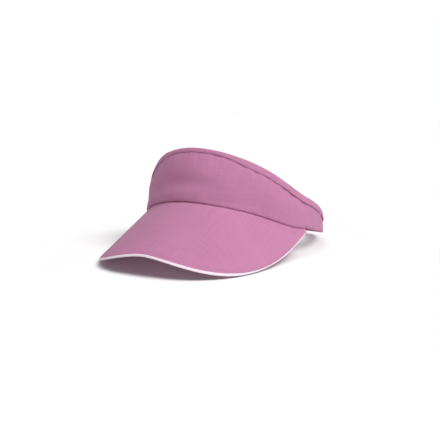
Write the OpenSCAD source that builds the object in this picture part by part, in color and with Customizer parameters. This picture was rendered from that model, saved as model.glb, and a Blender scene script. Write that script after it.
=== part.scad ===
// Sun visor: a padded crown band, a curved board peak and a hook-and-loop closure at the back.
// The head frame has the band's oval in plan, the peak ahead of it along -Y and +X at the wearer's left.
// Every piece is then tipped back by one angle, so that the visor stands on the two lower corners of its
// peak and on the bottom of its rear strap, with z = 0 on that surface.
// Angles round the band are measured from the middle of the front, positive towards +X.

/* [Head oval] */
// Half the width of the band, outside
band_half_w = 86.5; // [78:0.5:96]
// Reach of the band ahead of its widest point
band_front = 93; // [84:0.5:106]
// Reach of the band behind its widest point
band_rear = 102.5; // [88:0.5:108]
// How much the front quarters pull in from an ellipse, as a fraction
front_pull = 0.06; // [0:0.001:0.09]
// How much the rear quarters pull in from an ellipse, as a fraction
rear_pull = 0; // [0:0.005:0.06]

/* [Crown band] */
// Height of the band at the middle of the front
band_front_h = 48.5; // [42:0.5:62]
// Height that the band tapers to at the back
band_rear_h = 16.5; // [16:0.5:22]
// How quickly the height falls away from the front
taper_rate = 1.2; // [1:0.1:2.2]
// Angle from the front at which the band has come down to its rear height
taper_end = 116; // [115:1:150]
// Angle each way from the ends of the peak over which the top edge is eased into one line
top_ease = 27; // [12:1:28]
// Inward lean of the band at the front, per unit of height
front_lean = 0.005; // [0:0.005:0.1]
// Inward lean of the band at the back, per unit of height
rear_lean = 0.25; // [0:0.01:0.4]
// How late the inward lean grows towards the back
lean_rate = 2.5; // [1:0.1:3]
// How far the middle of the front bulges outwards
band_bulge = 3.1; // [0:0.1:6]
// Angle from the front at which each end of the band panel stops
band_end = 138; // [130:1:144]
// Rise of the band's lower edge from the ends of the peak to the back
rear_rise = 8.6; // [0:0.1:12]

/* [Fabric layers] */
// Thickness of the outer cotton, on the band and on the peak
cotton_t = 0.7; // [0.5:0.05:1]
// Thickness of the buckram behind the front panel
buckram_t = 0.8; // [0.5:0.05:1.2]
// Angle from the front at which the buckram stops
buckram_end = 72; // [50:1:90]
// Margin of the buckram below the top edge
buckram_top_gap = 4; // [2:0.5:8]
// Thickness of the lining
lining_t = 0.6; // [0.4:0.05:0.8]
// Clearance between one sewn layer and the next
layer_gap = 0.1; // [0.05:0.01:0.2]

/* [Top binding] */
// Depth of the binding's outer leg
binding_out_h = 6; // [5:0.5:8]
// Depth of that leg at the front, where it is narrower
binding_front_h = 3.3; // [2.5:0.1:5]
// Angle from the front within which it stays narrow
binding_front_end = 15; // [5:1:30]
// Angle over which that leg then widens
binding_widening = 22; // [10:1:30]
// Depth of the binding's inner leg
binding_in_h = 7; // [5:0.5:9]
// Thickness of the binding
binding_t = 0.6; // [0.4:0.05:0.8]

/* [Sweatband] */
// Height of the sweatband
sweat_h = 27; // [20:0.5:32]
// Thickness of its cloth
sweat_cloth_t = 0.5; // [0.4:0.05:0.8]
// Thickness of its foam
sweat_foam_t = 1.8; // [1:0.1:3]
// Angle from the front at which it stops
sweat_end = 122; // [100:1:126]
// Height of its lower fold above the band's lower edge
sweat_lift = 1; // [0.5:0.5:3]

/* [Peak] */
// Length of the peak ahead of the band, in plan
peak_len = 60.5; // [48:0.5:72]
// Where the ends of the peak meet the band, ahead of its widest point
peak_end_y = 18; // [8:0.5:26]
// Width of the peak at its ends, beyond the band
peak_end_w = 1.8; // [1.5:0.1:5]
// Slope of the peak down from the band, along its middle
peak_slope = 40.5; // [32:0.1:48]
// Drop of the ends of the peak below its middle
peak_sag = 57; // [42:1:72]
// Power of the curve from the middle of the peak down to its ends, along the seam
seam_power = 2; // [1.8:0.1:2.4]
// Power of the same curve along the front edge
edge_power = 1.85; // [1.5:0.05:2.2]
// How much deeper the front edge sags than the ends, as a fraction
edge_curl = -0.29; // [-0.35:0.01:0.1]
// Power of the outline across, less than 1 squares its corners
corner_power = 0.82; // [0.7:0.01:1]
// Power of the outline along, less than 1 squares its corners
side_power = 0.78; // [0.75:0.01:1]
// Thickness of the board inside the peak
board_t = 1.4; // [1:0.1:2]
// Margin of the board inside the peak's edge
board_inset = 3; // [2:0.1:4]
// Radius of the contrast piping's bead
bead_r = 1; // [0.9:0.1:1.5]
// How far the piping reaches in between the covers
trim_in = 2; // [1.5:0.1:2.5]
// Thickness of the piping between the covers
trim_t = 1.1; // [0.8:0.1:1.4]
// Height of the peak's turning that is sewn up inside the band
turning_h = 8; // [6:0.5:10]

/* [Closure] */
// Height of the rear straps
strap_h = 16; // [14:0.5:16]
// Thickness of a rear strap
strap_t = 1.6; // [1:0.1:2.2]
// Angle past the middle of the back that the under strap reaches
strap_reach = 26; // [18:1:30]
// Length of strap sewn in behind each end of the band, as an angle
strap_root = 11; // [7:1:14]
// Thickness of the loop tape
loop_t = 1.2; // [0.8:0.1:1.6]
// Thickness of the hook tape
hook_t = 1; // [0.8:0.1:1.4]
// Clearance between the hook tape and the loop tape
closure_gap = 0.3; // [0.3:0.05:0.5]
// Clearance at the fold where the tab peels away
fold_gap = 0.4; // [0.3:0.05:0.8]
// Angle short of the middle of the back at which the tab ends
tab_reach = 16; // [10:1:24]
// Height of the tab
tab_h = 13; // [11:0.5:14]
// Margin of the hook and loop tapes inside the strap edges
tape_margin = 1.5; // [1:0.1:2.5]

/* [Small pieces] */
// Width of a bar tack
tack_w = 2; // [1.5:0.1:2.5]
// Height of the thread above the cloth
thread_t = 0.4; // [0.3:0.05:0.6]
// Width of the care label
label_w = 14; // [10:0.5:20]
// Height of the care label
label_h = 11; // [8:0.5:12]
// Thickness of the care label
label_t = 0.3; // [0.2:0.05:0.5]
// Angle of the care label from the front
label_at = 104; // [90:1:112]

/* [Hidden] */

// Cloth colours
pink = [0.76, 0.47, 0.64];
pink_shade = [0.68, 0.41, 0.56];
piping_white = [0.98, 0.93, 0.96];
buckram_grey = [0.85, 0.83, 0.8];
foam_cream = [0.93, 0.9, 0.82];
board_grey = [0.35, 0.35, 0.37];
label_white = [0.95, 0.95, 0.95];

// Depths of the layers below the outer face of the band
d_stiff = cotton_t + layer_gap;
d_lining = d_stiff + buckram_t + layer_gap;
d_inside = d_lining + lining_t;
d_binding = d_inside + layer_gap;
d_sweat = d_inside + layer_gap;
sweat_all = 2*sweat_cloth_t + 2*layer_gap + sweat_foam_t;
d_label = d_sweat + sweat_all + 2*layer_gap;
d_strap = d_binding + binding_t + layer_gap;
strap_face = -d_strap;
loop_face = strap_face + layer_gap + loop_t;
hook_face = loop_face + closure_gap + hook_t;
tab_inner = hook_face + layer_gap;
tab_outer = tab_inner + strap_t;

// Angles of the closure, past 180 on the wearer's right
root_angle = 360 - band_end;
strap_tip = 180 + strap_reach;
fold_angle = strap_tip + 4;
tab_tip = 180 - tab_reach;
tape_lead = 3;

// Stations round the band, each way from the front: along the seam, then on to the band's end
seam_steps = 19;
side_steps = 15;
strap_step = 4;
// Stations across the peak each way from its middle, and rows from the seam to the edge
peak_steps = 28;
peak_rows = 8;

// ---- The head oval: a point at angle t, at distance o outside the band's outer face ----
function reach(t) = cos(t) > 0 ? band_front : band_rear;
function pull(t) = cos(t) > 0 ? front_pull : rear_pull;
function oval(t) = (1 - pull(t)*pow(sin(2*t), 2))*[band_half_w*sin(t), -reach(t)*cos(t)];
function oval_out(t) = let(d = oval(t + 1) - oval(t - 1)) [d.y, -d.x]/norm(d);
function from_front(t) = t > 180 ? 360 - t : abs(t);

// Angle at which the oval passes the ends of the peak
function find_end(low, high, n) = let(mid = (low + high)/2)
    n == 0 ? mid : oval(mid).y < -peak_end_y ? find_end(mid, high, n - 1) : find_end(low, mid, n - 1);
seam_end = find_end(0, 90, 24);
peak_half_w = oval(seam_end).x + peak_end_w;

// ---- The peak's upper surface ----
function peak_z(p) = let(along = (-p.y - peak_end_y)/(band_front + peak_len - peak_end_y),
    power = seam_power + (edge_power - seam_power)*along,
    sag = peak_sag*pow(abs(p.x)/band_half_w, power)*(1 + edge_curl*along))
    tan(peak_slope)*(p.y + band_front) - sag/cos(peak_slope);
function peak_point(p) = [p.x, p.y, peak_z(p)];
function peak_normal(p) = let(e = 0.2, dx = peak_point([p.x + e, p.y]) - peak_point([p.x - e, p.y]),
    dy = peak_point([p.x, p.y + e]) - peak_point([p.x, p.y - e]), c = cross(dx, dy)) c/norm(c);
function on_peak(p, depth) = peak_point(p) - depth*peak_normal(p);

// Outline of the peak in plan, q from -1 to 1, and the same set outwards by d
function outline(q) = let(a = 90*sign(q)*pow(abs(q), 1/corner_power))
    [peak_half_w*sign(q)*pow(abs(sin(a)), corner_power),
    -peak_end_y - (band_front + peak_len - peak_end_y)*pow(max(0, cos(a)), side_power)];
function outline_out(q) = let(e = 0.01, d = outline(min(q + e, 1)) - outline(max(q - e, -1)))
    [d.y, -d.x]/norm(d);
function edge_at(q, d) = outline(q) + d*outline_out(q);
function seam_angle(q) = seam_end*sign(q)*pow(abs(q), 1/corner_power);
function seam_at(q, o) = let(t = seam_angle(q)) oval(t) + o*oval_out(t);

// ---- The band's surface: angle t, height h above its lower edge, distance o outwards ----
end_z = peak_z(oval(seam_end));
function low_edge(t) = let(a = from_front(t)) a < seam_end ? peak_z(oval(a))
    : end_z + rear_rise*(1 - cos(180*(a - seam_end)/(180 - seam_end)))/2;
// The lower edge turns where the peak ends, so the height there makes up for the turn
end_drop = peak_z(oval(seam_end - 1)) - end_z;
function eased(t) = end_drop*pow(max(0, top_ease - abs(from_front(t) - seam_end)), 2)/(4*top_ease);
function band_h(t) = let(way = min(1, from_front(t)/taper_end))
    band_rear_h + (band_front_h - band_rear_h)*pow(max(0, cos(90*way)), taper_rate) + eased(t);
function lean(t) = front_lean + (rear_lean - front_lean)*pow((1 - cos(t))/2, lean_rate);
function bulge(t) = band_bulge*max(0, cos(90*from_front(t)/band_end));
function bow(t, h) = let(v = h/band_h(t)) bulge(t)*4*v*(1 - v) - lean(t)*h;
function band_at(t, h, o) = let(p = oval(t) + (o + bow(t, h))*oval_out(t)) [p.x, p.y, low_edge(t) + h];

// ---- A closed sheet between two grids of points, m stations by n rows ----
function sheet_faces(m, n) = let(b = m*n) concat(
    [for (i = [0:m - 2], j = [0:n - 2]) each let(p = i*n + j, r = p + n)
        [[p, p + 1, r + 1], [p, r + 1, r], [b + p, b + r, b + r + 1], [b + p, b + r + 1, b + p + 1]]],
    [for (i = [0:m - 2]) each let(p = i*n, r = p + n, e = n - 1)
        [[p, r, b + r], [p, b + r, b + p], [p + e, b + r + e, r + e], [p + e, b + p + e, b + r + e]]],
    [for (j = [0:n - 2]) each let(p = j, r = (m - 1)*n + j)
        [[p, b + p + 1, p + 1], [p, b + p, b + p + 1], [r, r + 1, b + r + 1], [r, b + r + 1, b + r]]]);
module sheet(face_a, face_b) {
    polyhedron(points = concat([for (row = face_a) each row], [for (row = face_b) each row]),
        faces = sheet_faces(len(face_a), len(face_a[0])));
}

function spread(a, b, step) = let(n = ceil(abs(b - a)/step)) [for (i = [0:n]) a + (b - a)*i/n];
side_angles = [for (k = [1:side_steps]) seam_end + (band_end - seam_end)*k/side_steps];
half_angles = concat([for (k = [1:seam_steps]) seam_end*k/seam_steps], side_angles);
band_angles = concat([for (k = [len(half_angles) - 1:-1:0]) -half_angles[k]], [0], half_angles);
function stations(a, b) = concat([a], [for (t = band_angles) if (t > a + 1 && t < b - 1) t], [b]);
function leg(from, to, offset, rows = 4) = [for (j = [0:rows]) [offset, from + (to - from)*j/rows]];
function blend(a, b, s) = let(u = max(0, min(1, s))) a + (b - a)*u*u*(3 - 2*u);

// A sheet round the band at the given angles, between heights low(t) and high(t) and two offsets
module band_sheet(angles, rows, low, high, outer, inner) {
    function grid(o) = [for (t = angles)
        [for (p = leg(low(t), high(t), o(t), rows)) band_at(t, p[1], p[0])]];
    sheet(grid(outer), grid(inner));
}

// A strip folded over an edge: each side holds the [offset, height] pairs along one face of the strip
module folded_strip(angles, outside, inside) {
    function grid(side) = [for (t = angles) [for (p = side(t)) band_at(t, p[1], p[0])]];
    sheet(grid(outside), grid(inside));
}

// A sheet of the peak between two depths, from offset o outside the band to distance d past the outline
module peak_sheet(top, bottom, o, d, q_end = 1, rows = peak_rows) {
    function grid(depth) = [for (i = [-peak_steps:peak_steps]) let(q = q_end*i/peak_steps,
        inner = seam_at(q, o), edge = edge_at(q, d))
        [for (j = [0:rows]) on_peak(inner + (edge - inner)*j/rows, depth)]];
    sheet(grid(bottom), grid(top));
}

// ---- Stance: the tilt at which the peak's corners and the rear strap stand on one plane ----
d_top = layer_gap;
d_board = d_top + cotton_t + layer_gap;
d_under = d_board + board_t + layer_gap;
d_peak = d_under + cotton_t;
trim_middle = d_board + board_t/2;
bead_out = bead_r/2 + 2*layer_gap;
function tipped(p, a) = [p.x, p.y*cos(a) + p.z*sin(a), p.z*cos(a) - p.y*sin(a)];
front_feet = [for (i = [-peak_steps:peak_steps]) each let(q = i/peak_steps)
    [on_peak(edge_at(q, 0), d_peak), for (a = [0:30:90])
        on_peak(edge_at(q, bead_out + bead_r*cos(a)), trim_middle + bead_r*sin(a))]];
rear_feet = [for (t = spread(tab_tip, strap_tip, 2)) each
    [band_at(t, 0, strap_face), band_at(t, (strap_h - tab_h)/2, tab_outer)]];
function lowest(points, a) = min([for (p = points) tipped(p, a).z]);
function find_tilt(low, high, n) = let(mid = (low + high)/2)
    n == 0 ? mid : lowest(front_feet, mid) < lowest(rear_feet, mid) ? find_tilt(mid, high, n - 1)
    : find_tilt(low, mid, n - 1);
rest_tilt = find_tilt(0, 45, 30);
front_y = min([for (p = front_feet) tipped(p, rest_tilt).y]);
rear_y = max([for (t = spread(tab_tip, 196, 2), h = [(strap_h - tab_h)/2, (strap_h + tab_h)/2])
    tipped(band_at(t, h, tab_outer), rest_tilt).y]);
module rest() {
    translate([0, -(front_y + rear_y)/2, -lowest(front_feet, rest_tilt)])
        rotate([-rest_tilt, 0, 0]) children();
}

// ---- Crown band ----
module band_outer() {
    color(pink) rest() band_sheet(stations(-band_end, band_end), 6,
        function(t) 0, function(t) band_h(t), function(t) 0, function(t) -cotton_t);
}
module band_stiffener() {
    color(buckram_grey) rest() band_sheet(stations(-buckram_end, buckram_end), 6,
        function(t) turning_h + 2*layer_gap, function(t) band_h(t) - buckram_top_gap,
        function(t) -d_stiff, function(t) -d_stiff - buckram_t);
}
module band_lining() {
    color(pink_shade) rest() band_sheet(stations(-band_end, band_end), 6,
        function(t) 0, function(t) band_h(t), function(t) -d_lining, function(t) -d_inside);
}
function binding_leg(t) =
    blend(binding_front_h, binding_out_h, (from_front(t) - binding_front_end)/binding_widening);
module top_binding() {
    wrap = layer_gap + binding_t;
    color(pink) rest() folded_strip(stations(-band_end, band_end),
        function(t) let(h = band_h(t)) concat(leg(h - binding_leg(t), h, wrap, 2),
            [[-d_inside/2, h + wrap]], leg(h, h - binding_in_h, -d_inside - wrap, 2)),
        function(t) let(h = band_h(t)) concat(leg(h - binding_leg(t), h + layer_gap, layer_gap, 2),
            [[-d_inside/2, h + layer_gap]], leg(h + layer_gap, h - binding_in_h, -d_binding, 2)));
}

// ---- Sweatband ----
function sweat_top(t) = min(sweat_h, band_h(t) - binding_in_h - 1);
module sweatband_cover() {
    back = -d_sweat;
    face = back - sweat_all;
    middle = (back + face)/2;
    cloth = sweat_cloth_t;
    fold_h = sweat_lift + 1;
    color(pink_shade) rest() folded_strip(stations(-sweat_end, sweat_end),
        function(t) concat(leg(sweat_top(t), fold_h, face), [[middle, sweat_lift]],
            leg(fold_h, sweat_top(t), back)),
        function(t) concat(leg(sweat_top(t), fold_h + cloth, face + cloth), [[middle, sweat_lift + cloth]],
            leg(fold_h + cloth, sweat_top(t), back - cloth)));
}
module sweatband_pad() {
    face = -d_sweat - sweat_cloth_t - layer_gap;
    color(foam_cream) rest() band_sheet(stations(-sweat_end + 2, sweat_end - 2), 4,
        function(t) sweat_lift + 1 + sweat_cloth_t + layer_gap, function(t) sweat_top(t) - 1,
        function(t) face, function(t) face - sweat_foam_t);
}

// ---- Peak ----
module peak_top_cover() {
    color(pink) rest() peak_sheet(d_top, d_top + cotton_t, layer_gap, 0);
}
module peak_board() {
    color(board_grey) rest() peak_sheet(d_board, d_board + board_t, 2, -board_inset, 0.86);
}
module peak_under_cover() {
    color(pink_shade) rest() peak_sheet(d_under, d_peak, layer_gap, 0);
}
module edge_trim() {
    function side(sgn) = concat([[-trim_in, sgn*trim_t/2], [-trim_in/2, sgn*trim_t/2], [0, sgn*trim_t/2]],
        [for (a = [120:-35:15]) [bead_out + bead_r*cos(a), sgn*bead_r*sin(a)]]);
    function grid(sgn) = [for (i = [-peak_steps:peak_steps]) let(q = i/peak_steps)
        [for (p = side(sgn)) on_peak(edge_at(q, p[0]), trim_middle + p[1])]];
    color(piping_white) rest() sheet(grid(1), grid(-1));
}
module peak_turning() {
    color(pink_shade) rest() band_sheet(stations(-seam_end + 3, seam_end - 3), 2, function(t) layer_gap,
        function(t) turning_h, function(t) -d_stiff, function(t) -d_stiff - buckram_t);
}

// ---- Closure ----
module strap(angles, h, inner) {
    lift = (strap_h - h)/2;
    band_sheet(angles, 4, function(t) lift, function(t) lift + h, function(t) inner(t) + strap_t, inner);
}
module tape(a, b, h, face, thick) {
    lift = (strap_h - h)/2;
    band_sheet(spread(a, b, strap_step), 4, function(t) lift, function(t) lift + h, function(t) face,
        function(t) face - thick);
}
module strap_left() {
    color(pink_shade) rest() strap(spread(band_end - strap_root, strap_tip, strap_step), strap_h,
        function(t) strap_face - strap_t);
}
module loop_patch() {
    color(pink_shade) rest()
        tape(band_end + 2*tape_lead, strap_tip - 1, strap_h - 2*tape_margin, loop_face, loop_t);
}
module strap_right() {
    jog = root_angle - fold_angle - 2;
    color(pink_shade) rest() strap(spread(fold_angle, root_angle + strap_root, strap_step/2), tab_h,
        function(t) blend(tab_inner, strap_face - strap_t, (t - fold_angle - 1)/jog));
}
module strap_tab() {
    color(pink) rest() strap(spread(tab_tip, fold_angle - fold_gap/band_rear*180/PI, strap_step), tab_h,
        function(t) tab_inner);
}
module hook_patch() {
    color(pink_shade) rest()
        tape(tab_tip + tape_lead, strap_tip - tape_lead, tab_h - 2*tape_margin, hook_face, hook_t);
}
module strap_bartacks() {
    half = tack_w/band_rear*90/PI;
    top = band_rear_h - binding_out_h - tape_margin;
    low = (strap_h - tab_h)/2 + tape_margin;
    color(pink_shade) rest() for (side = [-1, 1], place = [3, strap_root - 3]) {
        at = side*(band_end - place);
        band_sheet([at - half, at + half], 3, function(t) low, function(t) top,
            function(t) 2*layer_gap + thread_t, function(t) 2*layer_gap);
    }
}
module care_label() {
    half = label_w/band_half_w*90/PI;
    foot = sweat_lift + 1;
    color(label_white) rest() band_sheet(stations(label_at - half, label_at + half), 4, function(t) foot,
        function(t) foot + label_h, function(t) -d_label, function(t) -d_label - label_t);
}

band_outer();
band_stiffener();
band_lining();
top_binding();
sweatband_cover();
sweatband_pad();
peak_top_cover();
peak_board();
peak_under_cover();
edge_trim();
peak_turning();
strap_left();
loop_patch();
strap_right();
strap_tab();
hook_patch();
strap_bartacks();
care_label();
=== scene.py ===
"""The sun visor's looks: cloth, piping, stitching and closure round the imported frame."""

import math

import bmesh
import bpy
from bpy.props import FloatProperty, FloatVectorProperty, PointerProperty
from mathutils import Matrix, Vector, noise


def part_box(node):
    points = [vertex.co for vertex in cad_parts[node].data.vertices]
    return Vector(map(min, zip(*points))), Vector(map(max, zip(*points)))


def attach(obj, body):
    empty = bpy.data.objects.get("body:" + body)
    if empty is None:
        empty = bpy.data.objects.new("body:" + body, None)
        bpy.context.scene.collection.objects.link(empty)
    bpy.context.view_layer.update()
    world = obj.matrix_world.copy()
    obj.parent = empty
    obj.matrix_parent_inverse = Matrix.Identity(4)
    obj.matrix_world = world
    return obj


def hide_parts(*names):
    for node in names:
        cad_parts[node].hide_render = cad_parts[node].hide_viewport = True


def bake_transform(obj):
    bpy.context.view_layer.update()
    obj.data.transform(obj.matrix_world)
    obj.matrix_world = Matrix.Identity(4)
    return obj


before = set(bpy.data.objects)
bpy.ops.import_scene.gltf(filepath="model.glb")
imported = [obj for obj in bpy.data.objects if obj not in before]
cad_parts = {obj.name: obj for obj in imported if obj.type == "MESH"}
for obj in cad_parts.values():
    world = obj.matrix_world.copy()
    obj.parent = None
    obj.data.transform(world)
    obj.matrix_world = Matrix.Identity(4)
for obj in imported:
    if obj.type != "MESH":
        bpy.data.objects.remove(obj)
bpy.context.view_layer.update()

bl_info = {
    "name": "Sun visor",
    "version": (1, 0, 0),
    "blender": (4, 5, 0),
    "location": "View3D > Sidebar > Visor",
    "description": "Builds a cotton sun visor's cloth, piping, stitching and closure",
    "category": "Object",
}

MM = 0.001


# ---- Sizes and colours that a user would change ----
def length(name, description, millimetres):
    """A length property, given in millimetres."""
    return FloatProperty(name=name, description=description, default=millimetres * MM,
                         unit="LENGTH", precision=5)


def angle(name, description, degrees):
    """An angle property, given in degrees."""
    return FloatProperty(name=name, description=description, default=math.radians(degrees),
                         subtype="ANGLE")


def share(name, description, value):
    """A plain number, such as a share, a slope or a power."""
    return FloatProperty(name=name, description=description, default=value)


def colour(name, description, red, green, blue):
    """A linear colour property."""
    return FloatVectorProperty(name=name, description=description, default=(red, green, blue),
                               subtype="COLOR", size=3, min=0, max=1)


class HeadOval(bpy.types.PropertyGroup):
    """The band's outline in plan."""
    half_w: length("Half width", "Half the width of the band, outside", 86.5)
    front: length("Front reach", "Reach of the band ahead of its widest point", 93)
    rear: length("Rear reach", "Reach of the band behind its widest point", 102.5)
    front_pull: share("Front pull", "How far the front quarters pull in from an ellipse", 0.06)


class CrownBand(bpy.types.PropertyGroup):
    """The upright band and the layers sewn to it."""
    front_h: length("Front height", "Height at the middle of the front", 48.5)
    rear_h: length("Rear height", "Height that the band tapers to", 16.5)
    taper: share("Taper", "How quickly the height falls away from the front", 1.2)
    taper_end: angle("Taper end", "Angle at which the band has come down to its rear height", 116)
    top_ease: angle("Top ease", "Angle each way over which the top edge is eased into one line", 27)
    front_lean: share("Front lean", "Inward lean at the front, for each unit of height", 0.005)
    rear_lean: share("Rear lean", "Inward lean at the back, for each unit of height", 0.25)
    lean_rate: share("Lean rate", "How late the inward lean grows towards the back", 2.5)
    bulge: length("Bulge", "How far the middle of the front bulges", 3.1)
    end: angle("Panel end", "Angle from the front at which the panel stops", 138)
    rear_rise: length("Rear rise", "Rise of the lower edge from the peak's ends to the back", 8.6)
    cloth: length("Cotton", "Thickness of the outer cotton", 0.7)
    buckram: length("Buckram", "Thickness of the buckram", 0.7)
    buckram_end: angle("Buckram end", "Angle from the front at which the buckram stops", 72)
    buckram_foot: length("Buckram foot", "Height at which the buckram starts", 8.2)
    buckram_gap: length("Buckram gap", "Gap between the buckram and the top edge", 4)
    lining_in: length("Lining depth", "Depth of the lining's outer face", 1.7)
    lining: length("Lining", "Thickness of the lining", 0.6)
    roll: length("Roll", "Radius of the rolled lower edge", 1.3)
    overhang: length("Overhang", "How far the lower edge stands out over the peak", 0.9)
    binding_out: length("Outer leg", "Depth of the binding outside", 6)
    binding_front: length("Front leg", "Depth of the binding's outer leg at the front", 3.3)
    binding_front_end: angle("Front leg end", "Angle within which that leg stays narrow", 15)
    binding_in: length("Inner leg", "Depth of the binding inside", 7)
    binding: length("Binding", "Thickness of the binding", 0.6)


class Sweatband(bpy.types.PropertyGroup):
    """The padded strip inside the lower edge."""
    height: length("Height", "Height of the sweatband", 27)
    lift: length("Lift", "Height of its lower fold above the band's lower edge", 1)
    back: length("Back", "Depth of its back face", 2.4)
    thick: length("Thickness", "Thickness with its foam", 3)
    end: angle("End", "Angle from the front at which it stops", 122)
    fill: share("Fill", "How full the pad is, from slack to tight", 0.45)


class Peak(bpy.types.PropertyGroup):
    """The curved peak."""
    ahead: length("Length", "Length ahead of the band, in plan", 60.5)
    end_y: length("End place", "Where its ends meet the band, ahead of the widest point", 18)
    end_w: length("End width", "Width at its ends, beyond the band", 1.8)
    slope: angle("Slope", "Slope down from the band along the middle", 40.5)
    sag: length("Sag", "Drop of the ends below the middle", 57)
    seam_power: share("Seam curve", "Power of the curve along the seam", 2)
    edge_power: share("Edge curve", "Power of the curve along the front edge", 1.85)
    edge_curl: share("Edge curl", "How much deeper the front edge sags", -0.29)
    corner: share("Corners", "Power of the outline across, less than 1 squares it", 0.82)
    side: share("Sides", "Power of the outline along, less than 1 squares it", 0.78)
    thick: length("Thickness", "Thickness of the whole peak", 3.1)
    edge_roll: length("Edge roll", "Radius at which the covers turn in to the piping", 0.9)
    bead: length("Bead", "Radius of the piping's bead", 0.95)
    row_in: length("Stitch row", "Distance of the stitch row from the edge", 12)
    edge_row_in: length("Edge stitches", "Distance of the edge stitches from the edge", 2.4)


class Closure(bpy.types.PropertyGroup):
    """The hook-and-loop straps at the back."""
    strap_h: length("Strap height", "Height of the under strap", 16)
    tab_h: length("Tab height", "Height of the tab", 13)
    strap_t: length("Strap", "Thickness of a strap", 1.6)
    strap_face: length("Strap depth", "Depth of the under strap's outer face", 3.1)
    loop_t: length("Loop tape", "Thickness of the loop tape", 1.2)
    hook_t: length("Hook tape", "Thickness of the hook tape", 1)
    gap: length("Gap", "Clearance between the hook and loop tapes", 0.3)
    root: angle("Root", "Strap sewn in behind each end of the band", 11)
    strap_tip: angle("Under strap tip", "Where the under strap ends", 206)
    fold: angle("Fold", "Where the tab folds away", 210)
    tab_tip: angle("Tab tip", "Where the tab ends", 164)
    margin: length("Margin", "Margin of the tapes inside the strap's edges", 1.5)


class Thread(bpy.types.PropertyGroup):
    """The stitching."""
    stitch: length("Stitch", "Length of a stitch", 2.6)
    gap: length("Gap", "Gap between stitches", 0.7)
    radius: length("Radius", "Radius of the thread", 0.2)


class Cloths(bpy.types.PropertyGroup):
    """Colours, linear."""
    cotton: colour("Cotton", "The outer cotton", 0.475, 0.193, 0.33)
    inner: colour("Inner cotton", "Lining and facing", 0.42, 0.170, 0.285)
    piping: colour("Piping", "The contrast edge", 0.82, 0.69, 0.77)
    thread: colour("Thread", "The sewing thread", 0.46, 0.19, 0.32)
    label: colour("Label", "The blank label", 0.86, 0.86, 0.86)


class Studio(bpy.types.PropertyGroup):
    """The stage, the camera and the light."""
    azimuth: angle("Azimuth", "The camera's angle round the visor", 28.24)
    elevation: angle("Elevation", "The camera's angle above the horizon", 10.1)
    distance: length("Distance", "Distance of the camera", 733)
    aim_across: length("Aim across", "Where the camera aims, to its right of the middle", 1.5)
    aim_up: length("Aim up", "Where the camera aims, above the floor", 26.7)
    image_scale: share("Image scale", "Width of the view at the visor, in metres", 0.4243)


GROUPS = {
    "visor_oval": HeadOval, "visor_band": CrownBand, "visor_sweat": Sweatband, "visor_peak": Peak,
    "visor_closure": Closure, "visor_thread": Thread, "visor_cloths": Cloths, "visor_studio": Studio,
}


# ---- Curves and surfaces ----
def smooth(x):
    """0 before 0, 1 after 1, and a smooth ramp between."""
    x = min(1.0, max(0.0, x))
    return x * x * (3 - 2 * x)


def bell(x, width):
    """A bump of height 1 that is about width wide each way."""
    return math.exp(-(x / width) ** 2)


def sign(x):
    return -1.0 if x < 0 else 1.0


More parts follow.
